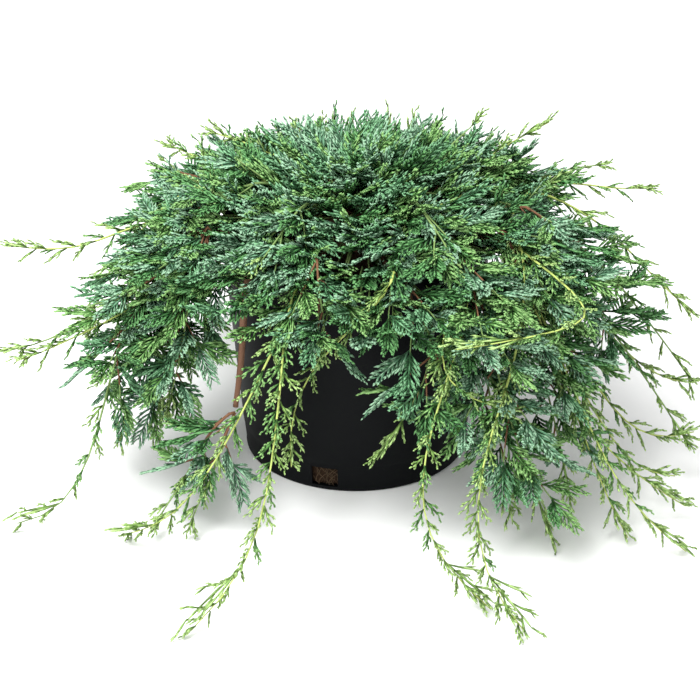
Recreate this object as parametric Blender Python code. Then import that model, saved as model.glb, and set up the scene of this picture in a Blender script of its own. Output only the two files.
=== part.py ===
# Creeping juniper in a black nursery pot, at its real size in metres, +Z up.
# The origin is the middle of the pot's flat underside, -Y is the front and +X the right.
# Headings are in degrees, anticlockwise from +X as seen from above, so 270 is the front.

import math
import random

import bmesh
import bpy
from mathutils import Quaternion, Vector
from mathutils.bvhtree import BVHTree

GAP = 0.0003

# The pot
POT_HEIGHT = 0.240
POT_BASE_RADIUS = 0.115
POT_RIM_RADIUS = 0.135
POT_WALL = 0.0025
POT_FLOOR = 0.0035
POT_SIDES = 40
BAND_HEIGHT = 0.0295
BAND_STEP = 0.0007
LIP_DEPTH = 0.014
LIP_OUT = 0.0035
LIP_EDGE = 0.0015
HOLE_WIDTH = 0.027
HOLE_LOW = 0.0045
HOLE_HIGH = 0.0260
HOLE_NOTCH = 0.0020
HOLE_HEADINGS = (254, 344, 74, 164)
HOLE_INNER_REACH = 0.1085

# The soil, flat round the trunk and a little lower at the pot's wall
SOIL_TOP = 0.222
SOIL_FLAT_RADIUS = 0.032
SOIL_EDGE_DROP = 0.006

# The trunk: height above the soil, radius and sideways lean of each ring
TRUNK_RINGS = (
    (GAP, 0.0215, 0.0),
    (0.004, 0.0170, 0.0),
    (0.012, 0.0142, 0.0005),
    (0.022, 0.0134, 0.0010),
    (0.033, 0.0126, 0.0014),
    (0.042, 0.0110, 0.0016),
    (0.048, 0.0070, 0.0018),
)
TRUNK_SIDES = 12
TRUNK_LOBES = 0.08

# Where the boughs leave the trunk, above the soil: two low tiers by turns, and the upper boughs
LOW_TIERS = (0.0085, 0.0195)
UPPER_TIER = 0.0315
BOUGH_ROOT_RADIUS = 0.0042
BOUGH_TIP_RADIUS = 0.0027
BOUGH_SIDES = 6

# Name, heading, reach and height of each bough's tip, and how far its middle is raised
UPPER_BOUGHS = (
    ("right", 15, 0.072, 0.288, 0.006),
    ("back_right", 75, 0.070, 0.284, 0.006),
    ("back_left", 140, 0.072, 0.286, 0.006),
    ("left", 195, 0.072, 0.284, 0.006),
    ("front_left", 245, 0.070, 0.282, 0.006),
    ("front_right", 305, 0.072, 0.284, 0.006),
)
LOWER_BOUGHS = (
    ("right", 352, 0.152, 0.268, 0.010),
    ("right_front", 328, 0.150, 0.262, 0.012),
    ("front_right", 303, 0.150, 0.265, 0.010),
    ("front", 281, 0.150, 0.260, 0.012),
    ("front_left", 256, 0.150, 0.266, 0.010),
    ("left_front", 232, 0.158, 0.258, 0.012),
    ("left_low", 209, 0.152, 0.264, 0.010),
    ("left", 185, 0.150, 0.268, 0.010),
    ("left_back", 160, 0.150, 0.268, 0.010),
    ("back_left", 134, 0.150, 0.264, 0.010),
    ("back", 108, 0.150, 0.262, 0.012),
    ("back_right", 82, 0.154, 0.260, 0.012),
    ("right_back", 56, 0.150, 0.264, 0.010),
    ("right_high", 26, 0.150, 0.270, 0.010),
)
# Boughs that go on down from a lower bough's tip, where it bends over the pot's rim
DROP_BOUGHS = (
    ("left_front", 234, 0.196, 0.120, 0.010),
    ("back_right", 80, 0.205, 0.130, 0.010),
)

# Masses of foliage, each on a leader that starts off its bough's tip. Name and bough, then the
# heading, reach and height of the leader's tip, then how far its first part is raised, its last
# part raised, its first part pushed anticlockwise and its last part pushed so, then the length
# of its first sprays, their number and the radius of its core.
MASSES = (
    ("crown_middle", "trunk", (262, 0.030, 0.332), (0, 0, 0, 0), (0.070, 11, 0.014)),
    ("crown_right", "upper_right", (14, 0.192, 0.292), (0.020, 0, 0, 0), (0.074, 11, 0.014)),
    ("crown_right_tip", "upper_right", (34, 0.150, 0.323), (0.010, 0, 0.006, 0), (0.046, 5, 0)),
    ("crown_right_shoot", "upper_front_right", (17, 0.203, 0.328), (0, -0.018, -0.037, 0.045), (0.034, 5, 0)),
    ("crown_back_right", "upper_back_right", (72, 0.165, 0.262), (0.018, 0, 0, 0), (0.070, 10, 0.014)),
    ("crown_back_left", "upper_back_left", (146, 0.170, 0.276), (0.014, 0, 0, 0), (0.070, 10, 0.014)),
    ("crown_left", "upper_left", (194, 0.190, 0.276), (0.026, 0, 0, 0), (0.076, 11, 0.014)),
    ("crown_front_left", "upper_front_left", (240, 0.190, 0.262), (0.036, 0, 0, 0), (0.082, 12, 0.015)),
    ("crown_front_right", "upper_front_right", (299, 0.192, 0.262), (0.036, 0, 0, 0), (0.082, 12, 0.015)),
    ("right", "lower_right", (350, 0.343, 0.094), (0.034, 0.010, -0.030, 0), (0.074, 10, 0.011)),
    ("right_upper_shoot", "lower_right", (357, 0.342, 0.150), (0.030, 0, 0.020, 0), (0.036, 5, 0)),
    ("right_trail", "lower_right", (332, 0.361, 0.017), (0.020, 0.006, -0.046, -0.050), (0.042, 6, 0)),
    ("right_front", "lower_right_front", (343, 0.346, 0.046), (0.034, 0, -0.020, 0.030), (0.076, 10, 0.011)),
    ("right_front_shoot", "lower_right_front", (323, 0.389, 0.006), (0.010, 0, 0.002, -0.037), (0.042, 6, 0)),
    ("right_front_trail", "lower_right_front", (292, 0.398, 0.006), (0.044, -0.004, 0.033, -0.050), (0.042, 6, 0)),
    ("front_right", "lower_front_right", (310, 0.290, 0.008), (0.040, 0.030, 0, -0.020), (0.076, 11, 0.011)),
    ("front_right_curl", "lower_front_right", (302, 0.249, 0.152), (0.006, 0, 0.004, -0.054), (0.036, 5, 0)),
    ("front_right_shoot", "lower_front_right", (290, 0.351, 0.006), (0.030, -0.005, 0.019, -0.054), (0.042, 6, 0)),
    ("front", "lower_front", (275, 0.215, 0.094), (0.010, 0.030, 0.020, 0.030), (0.074, 11, 0.010)),
    ("front_pot_shoot", "lower_front", (252, 0.200, 0.073), (0.040, -0.020, 0.050, -0.070), (0.038, 6, 0)),
    ("front_left", "lower_front_left", (248, 0.391, 0.006), (0.010, 0.044, -0.014, 0.042), (0.060, 9, 0)),
    ("front_left_trail", "lower_front_left", (223, 0.305, 0.008), (0.002, 0, 0.017, 0.060), (0.050, 7, 0)),
    ("left_front", "drop_left_front", (232, 0.262, 0.010), (0, 0, 0, 0), (0.054, 7, 0)),
    ("left_low", "lower_left_low", (210, 0.377, 0.009), (0.020, 0, -0.050, 0.060), (0.082, 11, 0.012)),
    ("left", "lower_left", (199, 0.359, 0.158), (0.006, -0.016, 0.060, -0.010), (0.074, 10, 0.011)),
    ("left_upper_shoot", "lower_left", (188, 0.346, 0.240), (0, -0.006, 0.013, 0.015), (0.036, 5, 0)),
    ("left_curl_shoot", "lower_left", (195, 0.270, 0.158), (0.030, -0.030, -0.010, -0.050), (0.036, 5, 0)),
    ("left_back", "lower_left_back", (154, 0.225, 0.274), (0.004, 0, 0.016, 0), (0.068, 10, 0.011)),
    ("back_left", "lower_back_left", (132, 0.300, 0.070), (0.045, 0, -0.020, 0.020), (0.078, 10, 0.012)),
    ("back", "lower_back", (106, 0.335, 0.012), (0.045, 0.010, 0.020, -0.020), (0.076, 10, 0.012)),
    ("back_right", "drop_back_right", (77, 0.270, 0.010), (0, 0, 0, 0), (0.058, 6, 0)),
    ("right_back", "lower_right_back", (50, 0.310, 0.080), (0.045, 0, 0.020, -0.020), (0.078, 10, 0.012)),
    ("right_high", "lower_right_high", (17, 0.270, 0.276), (0.002, 0, -0.030, 0.006), (0.068, 10, 0.011)),
    ("right_high_shoot", "lower_right_high", (9, 0.305, 0.262), (0, -0.002, -0.012, 0), (0.036, 5, 0)),
)

# Leaders: radius at the start of a cored mass, of a bare shoot, and at the tip
LEADER_RADIUS = 0.0017
SHOOT_RADIUS = 0.0013
LEADER_TIP_RADIUS = 0.0006
LEADER_RINGS = 10
COLLAR = 0.005
LEADER_SIDES = 3
CORED_SIDES = 6
CORE_SPAN = (0.16, 0.66)
# Where several leaders share a bough's tip, each starts this far off its middle
FORK_OFFSETS = {1: 0.0, 2: 0.0018, 3: 0.0022}
# Powers that put one hump in a limb's first part and one in its last
EARLY_SKEW = 0.6
LATE_SKEW = 1.8
WANDER = 0.012
# A leader that would touch another limb is bent by steps of this much until it is clear
BEND_STEP = 0.007
BEND_RINGS = 5

# Sprays of needles: share of the leader that bears them, tilt off it, and how they shorten
SPRAY_SPAN = (0.06, 0.93)
SPRAY_TILT = math.radians(46)
SPRAY_LIFT = 0.15
SPRAY_SHRINK = 0.55
SPRAY_ROLL = math.radians(50)
SPRAY_THICKNESS = 0.0018
GOLDEN_TURN = math.radians(137.5)
FLOOR_CLEARANCE = 0.0015
# Half of a spray's outline, in shares of its length: root, tooth, notch, tooth, notch
SPRAY_HALF = ((0.0, 0.05), (0.60, 0.34), (0.54, 0.10))


def clear_scene():
    for thing in list(bpy.data.objects):
        bpy.data.objects.remove(thing)


def plain_material(name, colour, roughness):
    made = bpy.data.materials.new(name)
    made.use_nodes = True
    shader = made.node_tree.nodes["Principled BSDF"]
    shader.inputs["Base Color"].default_value = (*colour, 1.0)
    shader.inputs["Roughness"].default_value = roughness
    return made


def polar(heading, reach, height):
    turn = math.radians(heading)
    return Vector((reach * math.cos(turn), reach * math.sin(turn), height))


def mesh_object(name, points, faces, material):
    mesh = bpy.data.meshes.new(name)
    mesh.from_pydata(points, [], faces)
    mesh.materials.append(material)
    made = bpy.data.objects.new(name, mesh)
    bpy.context.scene.collection.objects.link(made)
    return made


def turned(name, profile, material):
    """A solid turned about Z from a profile of (radius, height) that starts and ends on the axis."""
    shape = bmesh.new()
    corners = [shape.verts.new((radius, 0.0, height)) for radius, height in profile]
    edges = [shape.edges.new(pair) for pair in zip(corners, corners[1:])]
    bmesh.ops.spin(
        shape,
        geom=corners + edges,
        cent=(0, 0, 0),
        axis=(0, 0, 1),
        angle=2 * math.pi,
        steps=POT_SIDES,
    )
    bmesh.ops.remove_doubles(shape, verts=shape.verts, dist=1e-6)
    bmesh.ops.recalc_face_normals(shape, faces=shape.faces)
    mesh = bpy.data.meshes.new(name)
    shape.to_mesh(mesh)
    shape.free()
    mesh.materials.append(material)
    made = bpy.data.objects.new(name, mesh)
    bpy.context.scene.collection.objects.link(made)
    return made


def evaluated_mesh(thing):
    graph = bpy.context.evaluated_depsgraph_get()
    graph.update()
    return bpy.data.meshes.new_from_object(thing.evaluated_get(graph))


def apply_modifiers(thing):
    mesh = evaluated_mesh(thing)
    thing.modifiers.clear()
    thing.data = mesh


def cut(thing, cutter):
    """Takes the cutter out of the thing, and removes the cutter."""
    modifier = thing.modifiers.new("cut", "BOOLEAN")
    modifier.operation = "DIFFERENCE"
    modifier.solver = "EXACT"
    modifier.object = cutter
    apply_modifiers(thing)
    bpy.data.objects.remove(cutter)


def box_cutter(name, heading, reach, height, size):
    """A box of (depth outwards, width, height) whose middle is at that place."""
    shape = bmesh.new()
    bmesh.ops.create_cube(shape, size=1.0)
    bmesh.ops.scale(shape, vec=size, verts=shape.verts)
    mesh = bpy.data.meshes.new(name)
    shape.to_mesh(mesh)
    shape.free()
    cutter = bpy.data.objects.new(name, mesh)
    bpy.context.scene.collection.objects.link(cutter)
    cutter.location = polar(heading, reach, height)
    cutter.rotation_euler = (0, 0, math.radians(heading))
    cutter.hide_render = True
    cutter.display_type = "WIRE"
    return cutter


def wall_radius(height):
    """Radius of the pot's outer wall at a height."""
    share = height / POT_HEIGHT
    return POT_BASE_RADIUS + (POT_RIM_RADIUS - POT_BASE_RADIUS) * share


def make_pot(material):
    lip_low = POT_HEIGHT - LIP_DEPTH
    lip_radius = wall_radius(POT_HEIGHT) + LIP_OUT
    inner_base = wall_radius(POT_FLOOR) - POT_WALL
    inner_rim = wall_radius(POT_HEIGHT) - POT_WALL
    profile = (
        (0, 0),
        (POT_BASE_RADIUS - LIP_EDGE, 0),
        (POT_BASE_RADIUS, LIP_EDGE),
        (wall_radius(BAND_HEIGHT) - BAND_STEP, BAND_HEIGHT),
        (wall_radius(BAND_HEIGHT), BAND_HEIGHT + BAND_STEP),
        (wall_radius(lip_low), lip_low),
        (lip_radius, lip_low + LIP_EDGE),
        (lip_radius, POT_HEIGHT - LIP_EDGE),
        (lip_radius - LIP_EDGE, POT_HEIGHT),
        (inner_rim, POT_HEIGHT),
        (inner_base, POT_FLOOR),
        (0, POT_FLOOR),
    )
    pot = turned("pot", profile, material)
    depth = POT_BASE_RADIUS + 0.01 - HOLE_INNER_REACH
    middle = HOLE_INNER_REACH + depth / 2
    for number, heading in enumerate(HOLE_HEADINGS):
        hole = (depth, HOLE_WIDTH, HOLE_HIGH - HOLE_LOW)
        half_way = (HOLE_HIGH + HOLE_LOW) / 2
        cut(pot, box_cutter(f"hole_{number}", heading, middle, half_way, hole))
        notch = (depth, HOLE_WIDTH, 2 * HOLE_NOTCH)
        cut(pot, box_cutter(f"notch_{number}", heading, middle, 0, notch))
    return pot


def make_soil(material):
    low = POT_FLOOR + GAP
    edge = SOIL_TOP - SOIL_EDGE_DROP
    profile = (
        (0, low),
        (wall_radius(low) - POT_WALL - GAP, low),
        (wall_radius(edge) - POT_WALL - GAP, edge),
        (SOIL_FLAT_RADIUS, SOIL_TOP),
        (0, SOIL_TOP),
    )
    return turned("soil", profile, material)


def ring_points(middle, side, upright, radius, sides, lobes=0.0):
    points = []
    for number in range(sides):
        turn = 2 * math.pi * number / sides
        here = radius * (1 + lobes * math.cos(3 * turn))
        points.append(middle + side * here * math.cos(turn) + upright * here * math.sin(turn))
    return points


def tube_data(path, radii, sides, lobes=0.0, first_along=None):
    """Rings carried along a path without twist, joined by quads, with a face at each end."""
    points = []
    side = None
    for number, middle in enumerate(path):
        before = path[max(number - 1, 0)]
        after = path[min(number + 1, len(path) - 1)]
        along = (after - before).normalized()
        if number == 0 and first_along:
            along = first_along
        if side is None:
            side = along.orthogonal()
        side = (side - along * side.dot(along)).normalized()
        upright = along.cross(side)
        points += ring_points(middle, side, upright, radii[number], sides, lobes)
    faces = [tuple(reversed(range(sides)))]
    for ring in range(len(path) - 1):
        for number in range(sides):
            near = ring * sides + number
            next_near = ring * sides + (number + 1) % sides
            faces.append((near, next_near, next_near + sides, near + sides))
    last = (len(path) - 1) * sides
    faces.append(tuple(range(last, last + sides)))
    return points, faces


def trunk_tube(extra):
    """The trunk's rings, with extra added to their radius and beyond their ends."""
    path = []
    radii = []
    for height, radius, lean in TRUNK_RINGS:
        path.append(Vector((lean, -lean, SOIL_TOP + height)))
        radii.append(radius + extra)
    path[0].z -= extra
    path[-1].z += extra
    return tube_data(path, radii, TRUNK_SIDES, TRUNK_LOBES)


def make_trunk(material):
    return mesh_object("trunk", *trunk_tube(0.0), material)


def limb_path(start, tip, bends, rings, seed):
    """A line from start to tip, raised and pushed sideways by an early and a late hump,
    with a slow seeded wander that is nil at both ends."""
    rise, late_rise, push, late_push = bends
    chance = random.Random(seed)
    phases = (chance.uniform(0, 2 * math.pi), chance.uniform(0, 2 * math.pi))
    chord = tip - start
    sideways = Vector((-chord.y, chord.x, 0)).normalized()
    wander = WANDER * chord.length
    path = []
    for number in range(rings):
        share = number / (rings - 1)
        early = math.sin(math.pi * share**EARLY_SKEW)
        late = math.sin(math.pi * share**LATE_SKEW)
        ends = wander * math.sin(math.pi * share)
        across = push * early + late_push * late + ends * math.sin(7.0 * share + phases[0])
        lift = rise * early + late_rise * late + ends * math.sin(9.0 * share + phases[1])
        path.append(start + chord * share + sideways * across + Vector((0, 0, lift)))
    return path


def taper(first, last, rings, power=1.0):
    return [first + (last - first) * (n / (rings - 1)) ** power for n in range(rings)]


def make_boughs(material):
    """Boughs that leave the trunk, cut clear of it, and the two that drop from their tips."""
    paths = {}
    boughs = []
    plans = [("upper", number, plan) for number, plan in enumerate(UPPER_BOUGHS)]
    plans += [("lower", number, plan) for number, plan in enumerate(LOWER_BOUGHS)]
    for level, number, (name, heading, reach, height, rise) in plans:
        tier = UPPER_TIER if level == "upper" else LOW_TIERS[number % 2]
        start = Vector((0, 0, SOIL_TOP + tier))
        rings = 6 if level == "upper" else 8
        tip = polar(heading, reach, height)
        path = limb_path(start, tip, (rise, 0, 0, 0), rings, f"{level}_{name}")
        radii = taper(BOUGH_ROOT_RADIUS, BOUGH_TIP_RADIUS, rings)
        points, faces = tube_data(path, radii, BOUGH_SIDES)
        bough = mesh_object(f"bough_{level}_{name}", points, faces, material)
        clearance = mesh_object("clearance", *trunk_tube(GAP), material)
        cut(bough, clearance)
        boughs.append(bough)
        paths[f"{level}_{name}"] = path
    for name, heading, reach, height, rise in DROP_BOUGHS:
        above = paths[f"lower_{name}"]
        ahead = (above[-1] - above[-2]).normalized()
        start = above[-1] + ahead * 2 * GAP
        tip = polar(heading, reach, height)
        path = limb_path(start, tip, (rise, 0, 0, 0), 7, f"drop_{name}")
        radii = taper(BOUGH_TIP_RADIUS * 0.9, BOUGH_TIP_RADIUS * 0.75, 7)
        points, faces = tube_data(path, radii, BOUGH_SIDES, 0.0, ahead)
        boughs.append(mesh_object(f"bough_drop_{name}", points, faces, material))
        paths[f"drop_{name}"] = path
    top = SOIL_TOP + TRUNK_RINGS[-1][0]
    lean = TRUNK_RINGS[-1][2]
    paths["trunk"] = [Vector((lean, -lean, top - 0.01)), Vector((lean, -lean, top))]
    return boughs, paths


def leader_starts(paths):
    """Where each mass's leader starts and which way: off its bough's tip, and where several
    share a tip, evenly round its middle in the order in which they turn away."""
    families = {}
    for plan in MASSES:
        families.setdefault(plan[1], []).append(plan)
    starts = {}
    for bough, plans in families.items():
        tip = paths[bough][-1]
        ahead = (tip - paths[bough][-2]).normalized()
        side = ahead.cross(Vector((0.1, 0.2, 1.0))).normalized()
        above = side.cross(ahead)
        turns = {}
        for name, _, aim, _, _ in plans:
            away = polar(*aim) - tip
            turns[name] = math.atan2(away.dot(above), away.dot(side))
        order = sorted(turns, key=turns.get)
        spread = 2 * math.pi / len(order)
        first = sum(turns[name] - place * spread for place, name in enumerate(order)) / len(order)
        for place, name in enumerate(order):
            turn = first + place * spread
            offset = side * math.cos(turn) + above * math.sin(turn)
            starts[name] = (tip + ahead * 2 * GAP + offset * FORK_OFFSETS[len(order)], ahead)
    return starts


def core_radius(share, thin, thick):
    """The leader's own radius, swollen to a core over its first part."""
    low, high = CORE_SPAN
    if not thick or share <= low or share >= high:
        return thin
    return thin + (thick - thin) * math.sin(math.pi * (share - low) / (high - low)) ** 0.6


def leader_data(plan, start, ahead, rise, push):
    """The leader's path and tube, bent by that much more than planned."""
    name, _, aim, bends, (_, _, core) = plan
    bent = (bends[0] + rise, bends[1], bends[2] + push, bends[3])
    path = limb_path(start + ahead * COLLAR, polar(*aim), bent, LEADER_RINGS, name)
    thin = taper(LEADER_RADIUS if core else SHOOT_RADIUS, LEADER_TIP_RADIUS, LEADER_RINGS)
    radii = [core_radius(n / (LEADER_RINGS - 1), r, core) for n, r in enumerate(thin)]
    path.insert(0, start)
    radii.insert(0, radii[0])
    sides = CORED_SIDES if core else LEADER_SIDES
    return path, tube_data(path, radii, sides, 0.0, ahead)


def clear_leader(plan, start, ahead, solids):
    """Bends the leader by small steps, in widening rings, until it touches nothing."""
    for ring in range(BEND_RINGS + 1):
        for number in range(8 * ring or 1):
            turn = math.pi / 2 + number * math.pi / (4 * ring or 1)
            rise = BEND_STEP * ring * math.sin(turn)
            push = BEND_STEP * ring * math.cos(turn)
            path, (points, faces) = leader_data(plan, start, ahead, rise, push)
            tree = tree_of(points, faces)
            low = min(point.z for point in points) < FLOOR_CLEARANCE
            if not low and not any(tree.overlap(other) for _, other in solids):
                return path, points, faces, tree
    raise ValueError(plan[0] + " has no clear way")


def along_path(path, share):
    """The place and direction at a share of a path's points."""
    where = share * (len(path) - 1)
    number = min(int(where), len(path) - 2)
    step = path[number + 1] - path[number]
    return path[number] + step * (where - number), step.normalized()


def spray_data(root, ahead, flat, length):
    """A toothed blade: its outline on two parallel faces, joined round the edge."""
    outline = list(SPRAY_HALF) + [(1.0, 0.0)] + [(x, -y) for x, y in reversed(SPRAY_HALF)]
    across = ahead.cross(flat).normalized()
    normal = across.cross(ahead)
    points = []
    for level in (0.5, -0.5):
        for x, y in outline:
            place = root + (ahead * x + across * y) * length
            points.append(place + normal * level * SPRAY_THICKNESS)
    count = len(outline)
    faces = [tuple(reversed(range(count))), tuple(range(count, 2 * count))]
    for number in range(count):
        after = (number + 1) % count
        faces.append((number, after, after + count, number + count))
    return points, faces


def sprays_of(plan, path):
    """The places and directions of a mass's sprays, by a golden turn round its leader."""
    name, _, _, _, (spread, count, _) = plan
    chance = random.Random(name + "_sprays")
    first, last = SPRAY_SPAN
    turn = chance.uniform(0, 2 * math.pi)
    found = []
    for number in range(count):
        share = first + (last - first) * (number + 0.5) / count
        root, along = along_path(path, share)
        side = along.cross(Vector((0, 0, 1))).normalized()
        above = side.cross(along)
        turn += GOLDEN_TURN + chance.uniform(-0.4, 0.4)
        out = side * math.cos(turn) + above * (math.sin(turn) + SPRAY_LIFT)
        tilt = SPRAY_TILT * chance.uniform(0.85, 1.2)
        ahead = along * math.cos(tilt) + out.normalized() * math.sin(tilt)
        length = spread * (1 - SPRAY_SHRINK * share) * chance.uniform(0.85, 1.1)
        roll = Quaternion(ahead, chance.uniform(-SPRAY_ROLL, SPRAY_ROLL))
        found.append((root, ahead.normalized(), roll @ above, length))
    root, along = along_path(path, 0.93)
    length = (path[-1] - root).length + spread * 0.12
    found.append((root, along, Vector((0.2, 0.1, 1.0)), length))
    return found


def tree_of(points, faces):
    return BVHTree.FromPolygons([tuple(p) for p in points], faces, epsilon=GAP)


def object_tree(thing):
    points = [v.co.copy() for v in thing.data.vertices]
    faces = [tuple(p.vertices) for p in thing.data.polygons]
    return tree_of(points, faces)


def keep_outer_shell(thing):
    """Drops loose scraps and sealed hollows: only the part with the most room inside stays."""
    shape = bmesh.new()
    shape.from_mesh(thing.data)
    bmesh.ops.remove_doubles(shape, verts=shape.verts, dist=2e-6)
    left = set(shape.faces)
    islands = []
    while left:
        island = [left.pop()]
        for face in island:
            for edge in face.edges:
                for other in edge.link_faces:
                    if other in left:
                        left.remove(other)
                        island.append(other)
        islands.append(island)
    islands.sort(key=lambda faces: -sum(face.calc_area() for face in faces))
    for island in islands[1:]:
        bmesh.ops.delete(shape, geom=island, context="FACES")
    shape.to_mesh(thing.data)
    shape.free()


def is_closed(thing):
    """Whether every edge of the mesh joins just two faces."""
    shape = bmesh.new()
    shape.from_mesh(thing.data)
    closed = all(len(edge.link_faces) == 2 for edge in shape.edges)
    shape.free()
    return closed


def fuse(base, parts):
    """Joins the parts to the base with one Boolean union on a collection. Where they don't
    make a closed surface, it is done again without the last part."""
    plain = base.data.copy()
    group = bpy.data.collections.new(base.name + "_sprays")
    bpy.context.scene.collection.children.link(group)
    for part in parts:
        bpy.context.scene.collection.objects.unlink(part)
        group.objects.link(part)
    modifier = base.modifiers.new("fuse", "BOOLEAN")
    modifier.operation = "UNION"
    modifier.operand_type = "COLLECTION"
    modifier.collection = group
    modifier.solver = "EXACT"
    apply_modifiers(base)
    keep_outer_shell(base)
    bpy.data.collections.remove(group)
    if not is_closed(base):
        base.data = plain
        bpy.data.objects.remove(parts.pop())
        for part in parts:
            bpy.context.scene.collection.objects.link(part)
        fuse(base, parts)
    for part in list(parts):
        bpy.data.objects.remove(part)
    parts.clear()


def make_masses(fixed, paths, material):
    """One mass for each plan. Each spray that would touch another node or the floor is skipped."""
    starts = leader_starts(paths)
    solids = [(None, object_tree(thing)) for thing in fixed]
    bases = []
    for plan in MASSES:
        path, points, faces, tree = clear_leader(plan, *starts[plan[0]], solids)
        base = mesh_object("foliage_" + plan[0], points, faces, material)
        solids.append((plan[0], tree))
        bases.append((plan, path, base))
    waiting = [(plan, base, sprays_of(plan, path), []) for plan, path, base in bases]
    kept = 0
    for number in range(max(len(sprays) for _, _, sprays, _ in waiting)):
        for plan, base, sprays, parts in waiting:
            if number >= len(sprays):
                continue
            points, faces = spray_data(*sprays[-1 - number])
            if min(point.z for point in points) < FLOOR_CLEARANCE:
                continue
            tree = tree_of(points, faces)
            if any(owner != plan[0] and tree.overlap(other) for owner, other in solids):
                continue
            solids.append((plan[0], tree))
            parts.append(mesh_object(f"{base.name}_{number}", points, faces, material))
            kept += 1
    for plan, base, sprays, parts in waiting:
        fuse(base, parts)
    print("sprays kept", kept)


def main():
    clear_scene()
    plastic = plain_material("pot_plastic", (0.008, 0.010, 0.013), 0.55)
    earth = plain_material("potting_soil", (0.030, 0.018, 0.010), 0.95)
    bark = plain_material("bark", (0.150, 0.062, 0.032), 0.85)
    needles = plain_material("juniper_needles", (0.060, 0.165, 0.090), 0.60)
    pot = make_pot(plastic)
    soil = make_soil(earth)
    trunk = make_trunk(bark)
    boughs, paths = make_boughs(bark)
    make_masses([pot, soil, trunk, *boughs], paths, needles)


main()
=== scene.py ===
import math
import random

import bpy
import mathutils
import numpy as np
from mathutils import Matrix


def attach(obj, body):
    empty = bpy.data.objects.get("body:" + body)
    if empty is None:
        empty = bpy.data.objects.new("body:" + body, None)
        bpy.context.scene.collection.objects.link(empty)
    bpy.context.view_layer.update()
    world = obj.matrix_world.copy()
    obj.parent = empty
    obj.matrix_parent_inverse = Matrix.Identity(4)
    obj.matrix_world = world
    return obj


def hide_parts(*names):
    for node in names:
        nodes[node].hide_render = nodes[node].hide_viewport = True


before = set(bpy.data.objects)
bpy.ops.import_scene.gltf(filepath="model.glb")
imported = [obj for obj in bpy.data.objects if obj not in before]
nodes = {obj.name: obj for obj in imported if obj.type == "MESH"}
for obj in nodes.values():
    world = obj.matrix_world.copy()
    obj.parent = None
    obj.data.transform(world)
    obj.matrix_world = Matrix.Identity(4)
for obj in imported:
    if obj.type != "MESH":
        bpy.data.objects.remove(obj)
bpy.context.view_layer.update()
print("frame:", len(nodes), "nodes")
up = np.array([0, 0, 1.0])


def colour(red, green, blue):
    # screen colour, 0 to 255, to the linear value that a shader takes
    parts = np.array([red, green, blue]) / 255
    return (*np.where(parts <= 0.04045, parts / 12.92, ((parts + 0.055) / 1.055) ** 2.4), 1.0)


def plainMaterial(name, baseColour, roughness, specular=0.3):
    made = bpy.data.materials.new(name)
    made.use_nodes = True
    shader = made.node_tree.nodes["Principled BSDF"]
    shader.inputs["Base Color"].default_value = baseColour
    shader.inputs["Roughness"].default_value = roughness
    shader.inputs["Specular IOR Level"].default_value = specular
    return made


def noiseBump(material, scale, strength, distance):
    # fine relief from a noise on Object coordinates
    tree = material.node_tree
    place = tree.nodes.new("ShaderNodeTexCoord")
    noise = tree.nodes.new("ShaderNodeTexNoise")
    bump = tree.nodes.new("ShaderNodeBump")
    noise.inputs["Scale"].default_value = scale
    noise.inputs["Detail"].default_value = 4
    bump.inputs["Strength"].default_value = strength
    bump.inputs["Distance"].default_value = distance
    tree.links.new(place.outputs["Object"], noise.inputs["Vector"])
    tree.links.new(noise.outputs["Fac"], bump.inputs["Height"])
    tree.links.new(bump.outputs["Normal"], tree.nodes["Principled BSDF"].inputs["Normal"])


def addPiece(name, points, faceGroups, materials, slots=None):
    # one mesh from an array of points and arrays of faces with the same number of corners
    mesh = bpy.data.meshes.new(name)
    corners = np.concatenate([group.ravel() for group in faceGroups]).astype(np.int32)
    sizes = np.concatenate([np.full(len(group), group.shape[1]) for group in faceGroups])
    starts = np.concatenate([[0], np.cumsum(sizes)[:-1]]).astype(np.int32)
    mesh.vertices.add(len(points))
    mesh.vertices.foreach_set("co", np.ascontiguousarray(points, dtype=np.float32).ravel())
    mesh.loops.add(len(corners))
    mesh.loops.foreach_set("vertex_index", corners)
    mesh.polygons.add(len(sizes))
    mesh.polygons.foreach_set("loop_start", starts)
    if slots is not None:
        mesh.polygons.foreach_set("material_index", np.concatenate(slots).astype(np.int32))
    mesh.polygons.foreach_set("use_smooth", np.ones(len(sizes), bool))
    for material in materials:
        mesh.materials.append(material)
    mesh.update(calc_edges=True)
    made = bpy.data.objects.new(name, mesh)
    bpy.context.scene.collection.objects.link(made)
    return made


def unit(vectors):
    # the same directions with length one
    return vectors / np.maximum(np.linalg.norm(vectors, axis=-1, keepdims=True), 1e-9)


def polar(heading, reach, height):
    # a point from its heading in degrees, its distance from the Z axis and its height
    turn = math.radians(heading)
    return np.array([reach * math.cos(turn), reach * math.sin(turn), height])


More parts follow.
